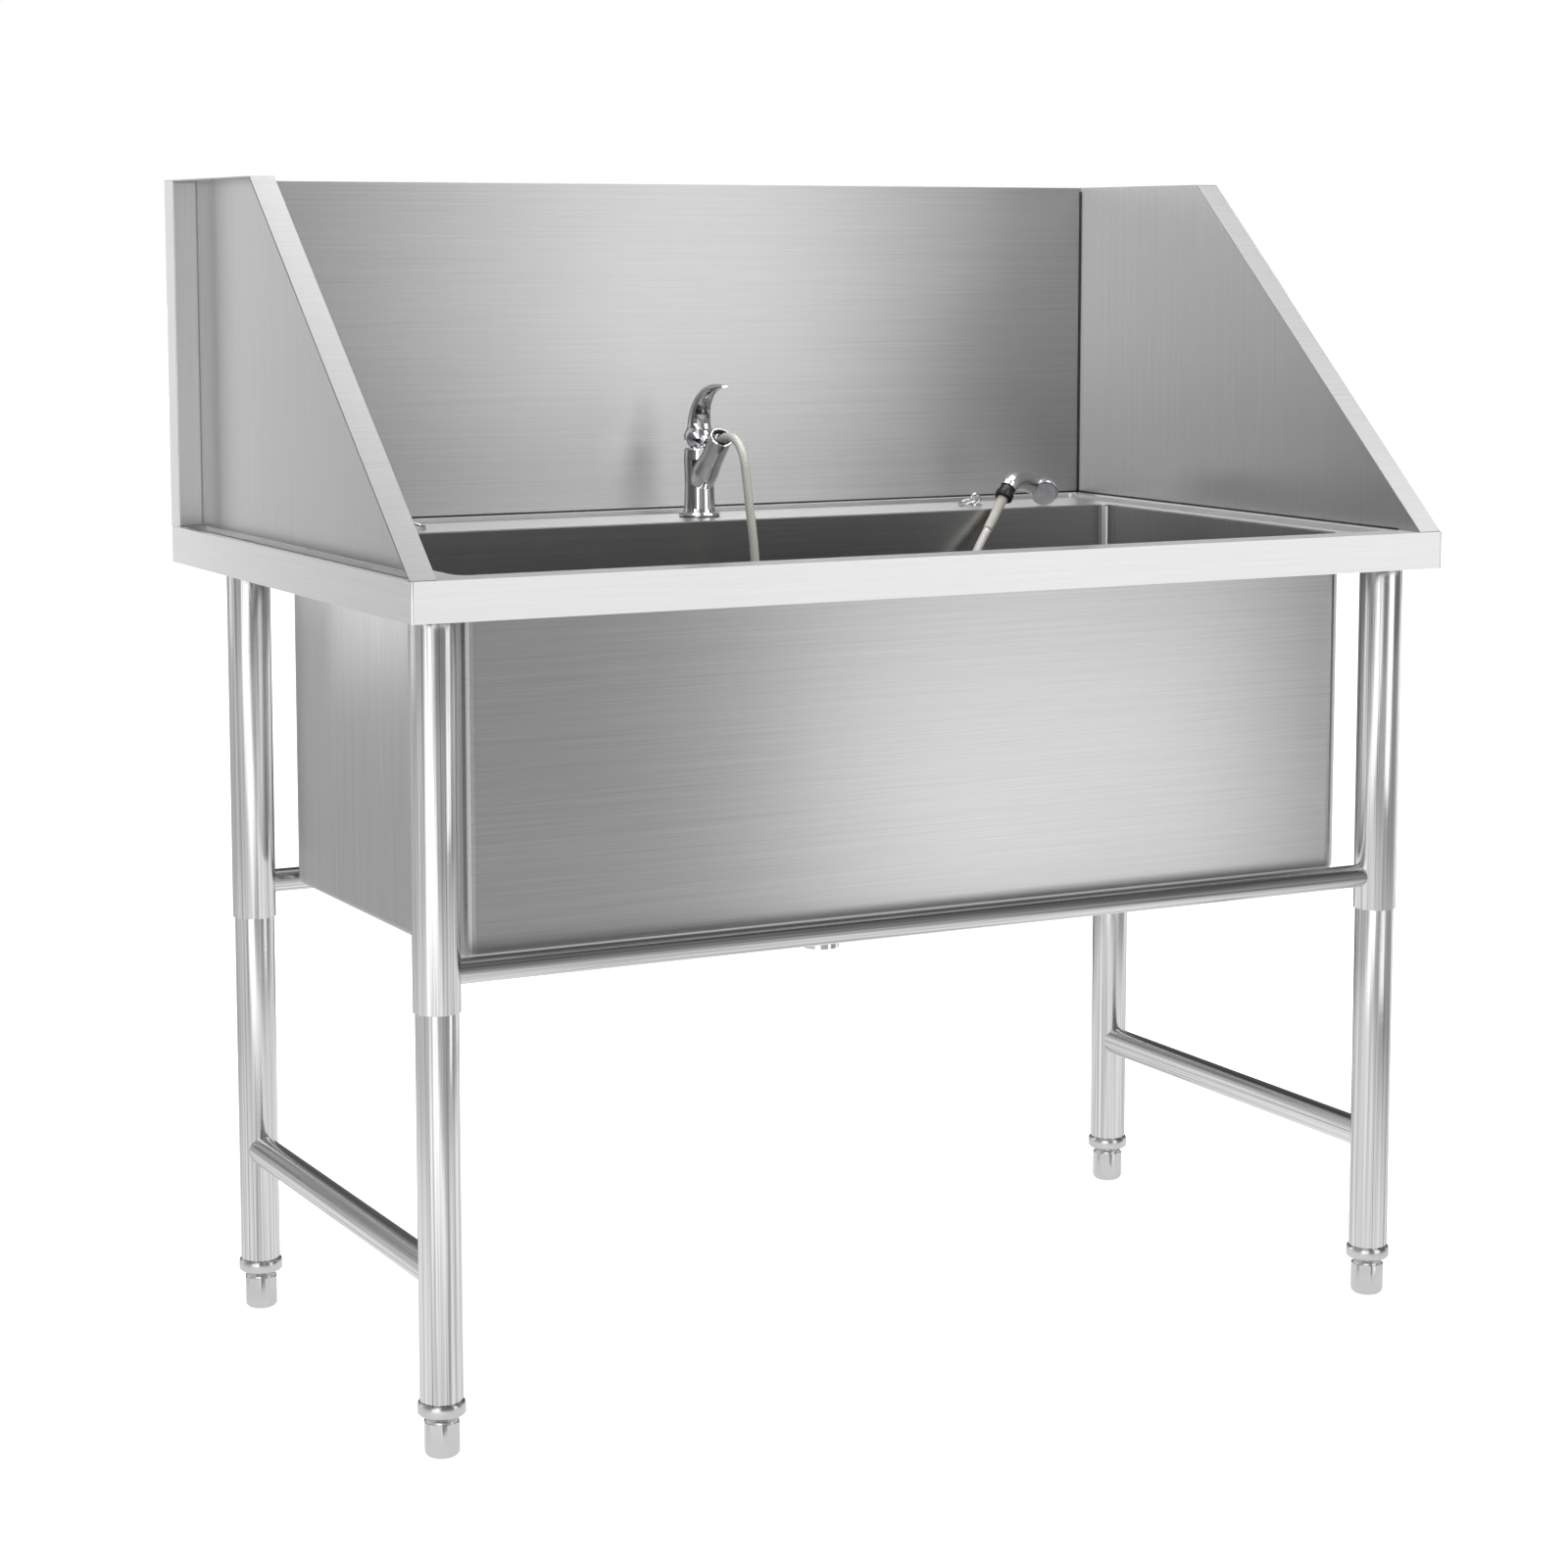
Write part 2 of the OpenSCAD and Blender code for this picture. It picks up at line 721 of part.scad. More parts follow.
module mixer_lever() {
  rings = [for (k = [0:blade_steps])
    let (
      t = k / blade_steps,
      p = blade_at(t),
      d = blade_dir(t),
      half_w = 14.2 - 8.4 * t - 1.6 * pow(t, 8),
      half_t = 12.4 * pow(1 - t, 1.15) + 2.4 - 1 * pow(t, 8)
    )
    ring_points([0, p.x, p.y], [1, 0, 0], [0, -d.y, d.x], half_w, half_t, 20)];
  color(chrome)
    at_mixer()
      difference() {
        union() {
          translate([0, 0, ball_z]) sphere(r = lever_shell_r, $fn = smooth);
          loft(rings);
        }
        translate([0, 0, ball_z]) sphere(r = ball_r + 0.4, $fn = smooth);
        translate([0, 0, lever_cut_z - 30]) cube(60, center = true);
        translate([-lever_shell_r - 1, 0, ball_z])
          rotate([0, 90, 0])
            cylinder(r = cross_pin_r + shaft_play, h = 2 * lever_shell_r + 2, $fn = fine);
      }
}

module mixer_shank() {
  color(brass)
    at_mixer()
      difference() {
        translate([0, 0, shank_bottom_z])
          cylinder(r = shank_r, h = ledge_z + 5.6 - shank_bottom_z, $fn = smooth);
        for (s = [-1, 1])
          translate([s * 6.5, 0, shank_bottom_z - 1]) cylinder(r = 5, h = 21, $fn = fine);
      }
}

module shank_washer() {
  color(grey)
    at_mixer()
      translate([0, 0, ledge_under_z - 2.5]) tube(24, shank_r, 2.5);
}

module shank_nut() {
  color(brass)
    at_mixer()
      translate([0, 0, ledge_under_z - 12.5])
        difference() {
          hexagon(38, 10);
          translate([0, 0, -1]) cylinder(r = shank_r, h = 12, $fn = smooth);
        }
}

// An inlet tail: a copper tube out of the shank, ending in a threaded nipple.
module inlet(side) {
  top = shank_bottom_z + 20;
  bend_a = [side * 6.5, 0, shank_bottom_z - 8];
  bend_b = [side * inlet_x, 0, shank_bottom_z - 36];
  at_mixer() {
    color(brass) {
      translate(bend_a) cylinder(r = 5, h = top - bend_a.z, $fn = fine);
      translate(bend_a) sphere(r = 5, $fn = fine);
      aim(bend_b, bend_a - bend_b) cylinder(r = 5, h = norm(bend_a - bend_b), $fn = fine);
      translate(bend_b) sphere(r = 5, $fn = fine);
      translate([bend_b.x, 0, inlet_end_z + 24])
        cylinder(r = 5, h = bend_b.z - inlet_end_z - 24, $fn = fine);
      translate([bend_b.x, 0, inlet_end_z + 16]) hexagon(24, 9);
      translate([bend_b.x, 0, inlet_end_z]) cylinder(r = thread_r, h = 17, $fn = smooth);
    }
  }
}

module hot_inlet() {
  inlet(-1);
}

module cold_inlet() {
  inlet(1);
}

module torus(r, wire_r) {
  rotate_extrude($fn = smooth) translate([r, 0]) circle(r = wire_r, $fn = 24);
}

module tether_eye(side) {
  color(chrome)
    translate([side * eye_x, eye_y, ledge_z]) {
      cylinder(r = 8, h = 1.4, $fn = smooth);
      translate([0, 0, -9]) cylinder(r = 2.5, h = 10, $fn = fine);
      translate([0, 0, eye_h + 0.2]) rotate([90, 0, 0]) torus(eye_r, eye_wire_r);
    }
}

module left_tether_eye() {
  tether_eye(-1);
}

module right_tether_eye() {
  tether_eye(1);
}

module tether_nuts() {
  color(grey)
    for (s = [-1, 1])
      translate([s * eye_x, eye_y, ledge_under_z - 5])
        difference() {
          hexagon(9, 5);
          translate([0, 0, -1]) cylinder(r = 2.5, h = 7, $fn = fine);
        }
}

// The ring runs through the eye and leans down to the ledge, towards the middle of the deck.
module tether_ring(side) {
  color(chrome)
    translate([side * eye_x, eye_y, ledge_z + eye_h])
      rotate([0, -side * ring_tilt, 0])
        translate([-side * ring_r, 0, 0]) torus(ring_r, ring_wire_r);
}

module left_tether_ring() {
  tether_ring(-1);
}

module right_tether_ring() {
  tether_ring(1);
}

module shower_hose() {
  color(braid) swept_tube(doubled(hose_route), hose_d / 2, 10, [1, 0, 0]);
}

module hose_sleeve() {
  color([0.86, 0.85, 0.8])
    aim(socket_mouth, socket_out)
      rotate_extrude($fn = smooth)
        polygon([
          [0, -4], [6.6, -4], [6.6, 3], [6, 5], [5.6, sleeve_len - 1], [5.2, sleeve_len], [0, sleeve_len]
        ]);
}

module spray_socket() {
  color(black)
    aim(socket_mouth, socket_out)
      rotate_extrude($fn = smooth)
        polygon([
          [6.6, 0], [socket_r - 1.2, 0], [socket_r, -1.4], [socket_r, -8], [socket_r - 1.5, -9],
          [socket_r - 1.5, -socket_len], [0, -socket_len], [0, -4], [6.6, -4]
        ]);
}

// The spray's arched neck, from the socket up, over and down into the head.
neck_start = socket_mouth - unit(socket_out) * socket_len;
neck_end = head_mid - unit(head_out) * 4;
neck_steps = 12;
function neck_at(t) =
  let (lift = neck_start - unit(socket_out) * 20, fall = neck_end + [-17, 8, 11])
  pow(1 - t, 3) * neck_start + 3 * pow(1 - t, 2) * t * lift + 3 * (1 - t) * t * t * fall
  + pow(t, 3) * neck_end;

module spray_body() {
  path = [for (k = [0:neck_steps]) neck_at(k / neck_steps)];
  us = across_list(path, 0, flat_across(socket_out));
  rings = [for (k = [0:neck_steps])
    let (t = k / neck_steps, r = 10.4 + 4.6 * t - 1.2 * t * t)
    ring_points(path[k], us[k], cross(us[k], tangent(path, k)), r, r, 24)];
  color(chrome)
    difference() {
      union() {
        loft(rings);
        aim(head_mid, head_out)
          rotate_extrude($fn = smooth)
            polygon([
              [0, -head_back], [7, -head_back + 0.6], [11.5, -head_back + 3.5], [14.6, -6],
              [head_r - 0.5, -1], [head_r, 4], [head_r, 8], [head_r - 1.2, 9.4], [0, 9.4]
            ]);
      }
      aim(head_mid, head_out)
        translate([0, 0, 5]) cylinder(r = head_r - 2.4, h = 6, $fn = smooth);
      aim(socket_mouth, socket_out)
        translate([0, 0, -socket_len]) cylinder(r = socket_r + 4, h = 30, $fn = smooth);
    }
}

module spray_face() {
  color(grey)
    aim(head_mid, head_out) {
      translate([0, 0, 5]) cylinder(r = head_r - 2.4, h = 3.4, $fn = smooth);
      for (ring = [[4, 6], [7.6, 10], [11, 14]], k = [0:ring[1] - 1])
        rotate([0, 0, 360 * k / ring[1]])
          translate([ring[0], 0, 8]) cylinder(r1 = 1, r2 = 0.7, h = 1.3, $fn = 16);
    }
}

deck_rim();
bowl();
back_splash();
left_splash();
right_splash();
splash_studs();
leg_plates();
leg_bolts();
upper_leg(leg_places[0]);  // upper_leg_front_left
upper_leg(leg_places[1]);  // upper_leg_front_right
upper_leg(leg_places[2]);  // upper_leg_rear_left
upper_leg(leg_places[3]);  // upper_leg_rear_right
lower_leg(leg_places[0]);  // lower_leg_front_left
lower_leg(leg_places[1]);  // lower_leg_front_right
lower_leg(leg_places[2]);  // lower_leg_rear_left
lower_leg(leg_places[3]);  // lower_leg_rear_right
foot_insert(leg_places[0]);  // foot_insert_front_left
foot_insert(leg_places[1]);  // foot_insert_front_right
foot_insert(leg_places[2]);  // foot_insert_rear_left
foot_insert(leg_places[3]);  // foot_insert_rear_right
foot(leg_places[0]);  // foot_front_left
foot(leg_places[1]);  // foot_front_right
foot(leg_places[2]);  // foot_rear_left
foot(leg_places[3]);  // foot_rear_right
front_brace();
rear_brace();
left_brace();
right_brace();
drain_flange();
drain_gasket();
drain_locknut();
drain_slip_nut();
drain_tailpiece();
strainer_basket();
mixer_base_ring();
mixer_gasket();
mixer_body();
outlet_liner();
cartridge();
cartridge_nut();
lever_ball();
lever_pin();
mixer_lever();
mixer_shank();
shank_washer();
shank_nut();
hot_inlet();
cold_inlet();
left_tether_eye();
right_tether_eye();
tether_nuts();
left_tether_ring();
right_tether_ring();
shower_hose();
hose_sleeve();
spray_socket();
spray_body();
spray_face();
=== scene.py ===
"""Looks for a stainless steel pet bathtub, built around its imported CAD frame.

Metres, with +Z up. The front faces -Y.
"""

import math

import bmesh
import bpy
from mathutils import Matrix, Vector


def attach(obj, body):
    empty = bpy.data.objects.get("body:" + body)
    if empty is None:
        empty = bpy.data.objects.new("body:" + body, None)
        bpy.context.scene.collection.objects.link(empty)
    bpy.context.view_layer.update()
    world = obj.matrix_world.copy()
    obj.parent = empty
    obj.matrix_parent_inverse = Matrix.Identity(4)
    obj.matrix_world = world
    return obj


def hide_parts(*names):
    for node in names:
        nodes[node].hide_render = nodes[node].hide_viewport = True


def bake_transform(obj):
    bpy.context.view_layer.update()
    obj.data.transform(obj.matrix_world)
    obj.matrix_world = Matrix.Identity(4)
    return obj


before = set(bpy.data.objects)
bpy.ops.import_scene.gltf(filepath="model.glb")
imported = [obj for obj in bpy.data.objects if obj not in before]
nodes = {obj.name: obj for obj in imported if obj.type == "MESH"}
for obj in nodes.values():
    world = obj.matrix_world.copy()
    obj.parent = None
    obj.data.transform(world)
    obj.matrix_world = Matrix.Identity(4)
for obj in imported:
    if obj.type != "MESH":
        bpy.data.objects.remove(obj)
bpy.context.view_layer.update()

MM = 0.001


# ---------------------------------------------------------------- camera


CAMERA_AT = (-1.7547, -3.2994, 1.1718)
CAMERA_TILT = 83.31
CAMERA_TURN = -27.73
FOCAL_LENGTH = 78.27
SHIFT_Y = -0.09


def add_camera():
    data = bpy.data.cameras.new("camera")
    data.sensor_width = 36
    data.lens = FOCAL_LENGTH
    data.shift_y = SHIFT_Y
    data.clip_end = 100
    camera = bpy.data.objects.new("camera", data)
    camera.location = CAMERA_AT
    camera.rotation_euler = (math.radians(CAMERA_TILT), 0, math.radians(CAMERA_TURN))
    bpy.context.scene.collection.objects.link(camera)
    bpy.context.scene.camera = camera


# ---------------------------------------------------------------- shader helpers


def ramp_node(tree, factor, stops):
    """A colour ramp over (place, grey or colour) stops."""
    node = tree.nodes.new("ShaderNodeValToRGB")
    elements = node.color_ramp.elements
    while len(elements) < len(stops):
        elements.new(0.5)
    for element, (place, tone) in zip(elements, stops):
        element.position = place
        element.color = (*tone, 1) if isinstance(tone, tuple) else (tone, tone, tone, 1)
    tree.links.new(factor, node.inputs[0])
    return node.outputs[0]


def compass_ramp(tree, direction, stops):
    """A ramp by compass angle, from +Y towards +X, over (degrees from -180 to 180, grey) stops."""
    parts = tree.nodes.new("ShaderNodeSeparateXYZ")
    tree.links.new(direction, parts.inputs[0])
    angle = tree.nodes.new("ShaderNodeMath")
    angle.operation = "ARCTAN2"
    tree.links.new(parts.outputs[0], angle.inputs[0])
    tree.links.new(parts.outputs[1], angle.inputs[1])
    turn = tree.nodes.new("ShaderNodeMath")
    turn.operation = "MULTIPLY_ADD"
    tree.links.new(angle.outputs[0], turn.inputs[0])
    turn.inputs[1].default_value = 1 / (2 * math.pi)
    turn.inputs[2].default_value = 0.5
    return ramp_node(tree, turn.outputs[0], [(degrees / 360 + 0.5, grey) for degrees, grey in stops])


class Shader:
    """A material's node tree with short calls for the nodes used here."""

    def __init__(self, name, metallic=0.0, roughness=0.5, color=(0.8, 0.8, 0.8), **sockets):
        self.material = bpy.data.materials.new(name)
        self.material.use_nodes = True
        self.tree = self.material.node_tree
        self.bsdf = self.tree.nodes["Principled BSDF"]
        self.bsdf.inputs["Metallic"].default_value = metallic
        self.bsdf.inputs["Roughness"].default_value = roughness
        self.bsdf.inputs["Base Color"].default_value = (*color, 1)
        for socket, value in sockets.items():
            self.bsdf.inputs[socket.replace("_", " ")].default_value = value
        self.coords = self.tree.nodes.new("ShaderNodeTexCoord")

    def link(self, output, socket):
        self.tree.links.new(output, socket)

    def add(self, kind, **settings):
        node = self.tree.nodes.new(kind)
        for key, value in settings.items():
            setattr(node, key, value)
        return node

    def feed(self, socket, value):
        """Links an output, or sets a constant."""
        if isinstance(value, bpy.types.NodeSocket):
            self.link(value, socket)
        else:
            socket.default_value = value

    def math(self, operation, a, b=0.0, c=0.0, clamp=False):
        node = self.add("ShaderNodeMath", operation=operation, use_clamp=clamp)
        for socket, value in zip(node.inputs, (a, b, c)):
            self.feed(socket, value)
        return node.outputs[0]

    def vector(self, operation, a, b=(0, 0, 0)):
        node = self.add("ShaderNodeVectorMath", operation=operation)
        self.feed(node.inputs[0], a)
        self.feed(node.inputs[1], b)
        return node.outputs[0]

    def pick(self, mask, low, high):
        """The vector low where the mask is 0, and high where it is 1."""
        node = self.add("ShaderNodeMix", data_type="VECTOR")
        self.feed(node.inputs[0], mask)
        self.feed(node.inputs[4], low)
        self.feed(node.inputs[5], high)
        return node.outputs[1]

    def noise(self, at, scale=1.0, detail=3.0, roughness=0.55):
        node = self.add("ShaderNodeTexNoise")
        self.feed(node.inputs["Vector"], at)
        node.inputs["Scale"].default_value = scale
        node.inputs["Detail"].default_value = detail
        node.inputs["Roughness"].default_value = roughness
        return node.outputs[0]

    def ramp(self, factor, stops):
        return ramp_node(self.tree, factor, stops)

    def remap(self, value, low, high):
        """A 0 to 1 value as a value from low to high."""
        return self.math("MULTIPLY_ADD", value, high - low, low)

    def bump(self, height, distance, strength=1.0, normal=None):
        node = self.add("ShaderNodeBump")
        node.inputs["Distance"].default_value = distance
        node.inputs["Strength"].default_value = strength
        self.link(height, node.inputs["Height"])
        if normal is not None:
            self.link(normal, node.inputs["Normal"])
        return node.outputs[0]


FACING = 0.7


def axis_masks(shader):
    """Whether the surface faces along X, and along Z: 0 or 1 each. The grain is chosen by it."""
    parts = shader.add("ShaderNodeSeparateXYZ")
    shader.link(shader.coords.outputs["Normal"], parts.inputs[0])
    return [
        shader.math("GREATER_THAN", shader.math("ABSOLUTE", parts.outputs[k]), FACING)
        for k in (0, 2)
    ]


# How finely the brushed grain varies along its lines and across them, per metre.
ALONG = 7.0
ACROSS = 950.0


def grain_scale(axis):
    return [ALONG if k == axis else ACROSS for k in range(3)]


def unit_vector(axis):
    return [1.0 if k == axis else 0.0 for k in range(3)]


MOTTLE = 0.06


def brushed_steel(name, tones, roughness, side_grain, front_grain=0, top_grain=0):
    """Satin sheet with its grain along one axis (0, 1, 2 for X, Y, Z) on faces that look along X, Y and Z."""
    shader = Shader(name, metallic=1.0, Anisotropic=0.55)
    side, top = axis_masks(shader)
    grains = [grain_scale(axis) for axis in (front_grain, side_grain, top_grain)]
    scale = shader.pick(top, shader.pick(side, grains[0], grains[1]), grains[2])
    # The surface scatters light widest across its grain.
    across = [unit_vector(axis) for axis in (2 - front_grain, 3 - side_grain, 1 - top_grain)]
    tangent = shader.pick(top, shader.pick(side, across[0], across[1]), across[2])
    shader.link(tangent, shader.bsdf.inputs["Tangent"])
    stretched = shader.vector("MULTIPLY", shader.coords.outputs["Object"], scale)
    fine = shader.noise(stretched, 1.0, 4.0, 0.7)
    streaks = shader.noise(stretched, 0.3, 2.0, 0.5)
    cloud = shader.noise(shader.coords.outputs["Object"], 2.2, 2.0, 0.5)
    lines = shader.math("MULTIPLY_ADD", fine, 0.75, shader.math("MULTIPLY", streaks, 0.25))
    tone = shader.ramp(lines, [(0.3, tones[0]), (0.7, tones[1])])
    shader.link(tone, shader.bsdf.inputs["Base Color"])
    worn = shader.math("MULTIPLY_ADD", cloud, MOTTLE, shader.remap(lines, roughness - 0.08, roughness + 0.05))
    shader.link(worn, shader.bsdf.inputs["Roughness"])
    shader.link(shader.bump(fine, 0.00006, 0.5), shader.bsdf.inputs["Normal"])
    return shader.material


TUBE_TONE = 0.75


def polished_tube(name, axis):
    """A polished welded tube: drawing lines along it, fine polishing marks round it and a faint waviness."""
    tone = TUBE_TONE
    shader = Shader(name, metallic=1.0, color=(tone, tone, tone))
    at = shader.coords.outputs["Object"]
    drawn_at = shader.vector("MULTIPLY", at, [1.5 if k == axis else 330 for k in range(3)])
    marks_at = shader.vector("MULTIPLY", at, [260 if k == axis else 40 for k in range(3)])
    drawn = shader.noise(drawn_at, 1.0, 3.0, 0.65)
    marks = shader.noise(marks_at, 1.0, 3.0, 0.6)
    waves = shader.noise(at, 7.0, 2.0, 0.5)
    shader.link(
        shader.ramp(drawn, [(0.33, tone * 0.52), (0.46, tone * 0.92), (0.68, tone * 1.25)]),
        shader.bsdf.inputs["Base Color"],
    )
    shader.link(
        shader.math("ADD", shader.remap(marks, 0.12, 0.24), shader.remap(waves, -0.03, 0.05)),
        shader.bsdf.inputs["Roughness"],
    )
    lines = shader.bump(drawn, 0.0006, 0.3)
    fine = shader.bump(marks, 0.00004, 0.3, lines)
    shader.link(shader.bump(waves, 0.0012, 0.25, fine), shader.bsdf.inputs["Normal"])
    return shader.material


def plated(name, tone, roughness, smudge=0.05, scale=140.0):
    """Bright plating with faint smudges and water marks."""
    shader = Shader(name, metallic=1.0, color=tone)
    marks = shader.noise(shader.coords.outputs["Object"], scale, 4.0, 0.6)
    film = shader.noise(shader.coords.outputs["Object"], scale * 0.15, 2.0, 0.5)
    darker = tuple(0.93 * c for c in tone)
    shader.link(shader.ramp(film, [(0.35, darker), (0.65, tone)]), shader.bsdf.inputs["Base Color"])
    smudged = shader.remap(marks, roughness - smudge / 2, roughness + smudge)
    shader.link(
        shader.math("ADD", smudged, shader.remap(film, 0.0, 0.03)),
        shader.bsdf.inputs["Roughness"],
    )
    shader.link(shader.bump(marks, 0.00003, 0.3), shader.bsdf.inputs["Normal"])
    return shader.material


def moulded(name, dark, light, roughness, grain=1500.0, depth=0.00006, **sockets):
    """Moulded plastic or rubber: a fine even texture, with patches that are a little shinier."""
    shader = Shader(name, **sockets)
    texture = shader.noise(shader.coords.outputs["Object"], grain, 3.0, 0.6)
    patches = shader.noise(shader.coords.outputs["Object"], 55.0, 3.0, 0.5)
    shader.link(shader.ramp(patches, [(0.35, dark), (0.68, light)]), shader.bsdf.inputs["Base Color"])
    grainy = shader.remap(texture, roughness - 0.06, roughness + 0.04)
    shader.link(
        shader.math("ADD", grainy, shader.remap(patches, -0.05, 0.05)),
        shader.bsdf.inputs["Roughness"],
    )
    shader.link(shader.bump(texture, depth, 0.6), shader.bsdf.inputs["Normal"])
    return shader.material


def braided(name, turns_per_metre=210.0, strands=8.0):
    """Fine crossed strands over a pale hose. UV: U runs along the hose in metres, and V once round it."""
    shader = Shader(name, metallic=0.1, Specular_IOR_Level=0.6)
    parts = shader.add("ShaderNodeSeparateXYZ")
    shader.link(shader.coords.outputs["UV"], parts.inputs[0])
    along = shader.math("MULTIPLY", parts.outputs[0], turns_per_metre)
    round_it = shader.math("MULTIPLY", parts.outputs[1], strands)
    waves = []
    for direction in ("ADD", "SUBTRACT"):
        phase = shader.math(direction, along, round_it)
        waves.append(shader.math("PINGPONG", phase, 0.5))
    crossed = shader.math("MULTIPLY", shader.math("MAXIMUM", waves[0], waves[1]), 2.0)
    gaps = shader.math("MULTIPLY", shader.math("MINIMUM", waves[0], waves[1]), 2.0)
    height = shader.math("MULTIPLY", crossed, shader.math("ADD", gaps, 0.3))
    # The strands darken where they dip into the gaps between them: painted shade in the recesses.
    strand_tones_gap_shaded = [(0.05, (0.55, 0.53, 0.48)), (0.3, (0.82, 0.80, 0.74)), (0.9, (0.95, 0.93, 0.88))]
    shader.link(shader.ramp(height, strand_tones_gap_shaded), shader.bsdf.inputs["Base Color"])
    shader.link(shader.remap(height, 0.5, 0.3), shader.bsdf.inputs["Roughness"])
    shader.link(shader.bump(height, 0.0003, 0.7), shader.bsdf.inputs["Normal"])
    return shader.material


# ---------------------------------------------------------------- mesh helpers


def link_mesh(name, mesh):
    piece = bpy.data.objects.new(name, mesh)
    bpy.context.scene.collection.objects.link(piece)
    return piece


def finish_piece(piece, body, material, stands_for=()):
    piece.data.materials.clear()
    piece.data.materials.append(material)
    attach(piece, body)
    if stands_for:
        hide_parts(*stands_for)


def smoothed_route(points, rounds):
    """Doubles the points each round, with the new ones on a smooth curve between the old ones."""
    for _ in range(rounds):
        doubled = []
        last = len(points) - 1
        for i in range(last):
            before, after = points[max(i - 1, 0)], points[min(i + 2, last)]
            doubled.append(points[i])
            doubled.append((9 * (points[i] + points[i + 1]) - before - after) / 16)
        points = doubled + [points[-1]]
    return points


def swept_tube(name, path, radius, sides, first_across):
    """A closed tube with UVs: U is metres along it, and V goes once round it."""
    mesh = bpy.data.meshes.new(name)
    bm = bmesh.new()
    uv = bm.loops.layers.uv.new("UVMap")
    rings, distances, run = [], [], 0.0
    across = Vector(first_across)
    for i, point in enumerate(path):
        ahead = (path[min(i + 1, len(path) - 1)] - path[max(i - 1, 0)]).normalized()
        across = (across - ahead * across.dot(ahead)).normalized()
        up = across.cross(ahead)
        run += (point - path[i - 1]).length if i else 0.0
        distances.append(run)
        turns = [2 * math.pi * k / sides for k in range(sides)]
        rings.append(
            [bm.verts.new(point + radius * (across * math.cos(t) + up * math.sin(t))) for t in turns]
        )
    for i in range(len(path) - 1):
        for k in range(sides):
            after = (k + 1) % sides
            face = bm.faces.new((rings[i][k], rings[i][after], rings[i + 1][after], rings[i + 1][k]))
            face.smooth = True
            corners = ((i, k), (i, k + 1), (i + 1, k + 1), (i + 1, k))
            for loop, (ring, turn) in zip(face.loops, corners):
                loop[uv].uv = (distances[ring], turn / sides)
    bm.faces.new(list(reversed(rings[0])))
    bm.faces.new(rings[-1])
    bmesh.ops.recalc_face_normals(bm, faces=bm.faces)
    bm.to_mesh(mesh)
    bm.free()
    return link_mesh(name, mesh)


# ---------------------------------------------------------------- hose


# The centre line that part.scad gives its hose, in millimetres.
HOSE_ROUTE = [
    (0, 202, 941), (0, 189, 949.5), (0, 173, 952), (0, 156, 949), (0, 143, 939), (0, 135, 926),
    (1, 130, 900), (2, 125, 870), (4, 120, 835), (6, 116, 780), (7, 113, 710), (8, 111, 640),
    (8, 111, 585), (7, 111, 546), (1, 111, 515), (-16, 110, 495), (-42, 109, 487), (-69, 107, 487),
    (-93, 99, 487), (-107, 84, 487), (-112, 65, 487), (-107, 45, 487), (-93, 30, 487), (-70, 22, 487),
    (-10, 17, 487), (50, 12, 487), (110, 9, 487), (165, 9, 487), (212, 16, 487), (250, 32, 487),
    (278, 60, 487), (291, 92, 488), (297, 116, 497), (300, 130, 514), (301, 139, 541),
    (302, 145, 610), (303, 150, 720), (307, 155, 768), (319, 160.3, 802), (342.9, 170.3, 832.4),
]
HOSE_D = 0.010


def add_hose():
    route = smoothed_route([Vector(p) * MM for p in HOSE_ROUTE], 3)
    hose = swept_tube("pull_out_hose", route, HOSE_D / 2, 16, (1, 0, 0))
    hose.data.materials.append(braided("hose_braid_look"))
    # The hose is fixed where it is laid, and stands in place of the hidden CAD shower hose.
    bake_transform(hose)
    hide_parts("shower_hose")


# ---------------------------------------------------------------- seam shade beads


BEAD_R = 0.0013
BEAD_SUNK = 0.4  # of its radius
BEAD_STEPS = 12
BACK_FACE_Y = 0.330
SIDE_FACE_X = 0.572
RIM_Z = 0.860
PANEL_TOP_Z = 1.235
SIDE_FRONT_Y = -0.318


def add_seam_shade_beads():
    """Thin near-black beads where the panels stand on the rim and where they meet each other: painted shade
    for the shadows in these seams.
    """
    seam_shade = moulded("seam_shade_look", (0.05, 0.05, 0.05), (0.09, 0.09, 0.09), 0.6)
    inset = BEAD_R * BEAD_SUNK
    lift = RIM_Z + inset
    edge = SIDE_FACE_X - inset
    rear = BACK_FACE_Y - inset
    runs = {
        "rear_foot_bead": ((-edge, rear, lift), (edge, rear, lift)),
        "left_foot_bead": ((-edge, SIDE_FRONT_Y, lift), (-edge, rear, lift)),
        "right_foot_bead": ((edge, SIDE_FRONT_Y, lift), (edge, rear, lift)),
        "left_corner_bead": ((-edge, rear, lift), (-edge, rear, PANEL_TOP_Z)),
        "right_corner_bead": ((edge, rear, lift), (edge, rear, PANEL_TOP_Z)),
    }
    for name, (start, end) in runs.items():
        start, end = Vector(start), Vector(end)
        path = [start.lerp(end, k / BEAD_STEPS) for k in range(BEAD_STEPS + 1)]
        upright = abs((end - start).normalized().z) > 0.5
        bead = swept_tube(name, path, BEAD_R, 8, (1, 0, 0) if upright else (0, 0, 1))
        finish_piece(bead, "tub", seam_shade)


# ---------------------------------------------------------------- end sheen plates


SHEEN_PLATE_X = (0.5750, 0.5992)
SHEEN_PLATE_Z = (0.8625, 1.2370)
SHEEN_PLATE_THICK = 0.0005


